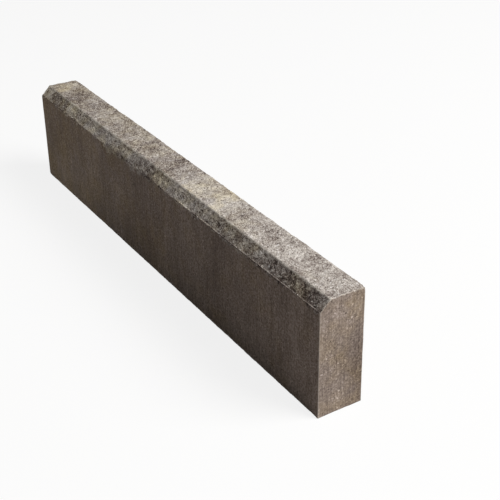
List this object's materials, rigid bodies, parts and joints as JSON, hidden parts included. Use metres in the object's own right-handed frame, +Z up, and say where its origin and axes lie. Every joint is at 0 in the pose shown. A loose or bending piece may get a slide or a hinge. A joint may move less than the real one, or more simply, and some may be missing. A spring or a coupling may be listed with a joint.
{
  "type": "concrete kerb stone",
  "caption": "Long upright block of pressed concrete with one long top edge chamfered, laid end to end to edge a road, path or bed.",
  "frame": {"origin": "centre of the base, on the bed that the stone stands on", "axes": "+X along the stone, +Y to its plain back, so the chamfered road side faces -Y, and +Z up"},
  "size_m": [1, 0.08, 0.2],
  "materials": {
    "pressed_concrete": "vibro-pressed concrete: smooth, finely streaked mould faces, and a gritty, mottled face mix on the tread and chamfer"
  },
  "bodies": {
    "root": {"kerb_stone": "pressed_concrete"}
  },
  "joints": []
}
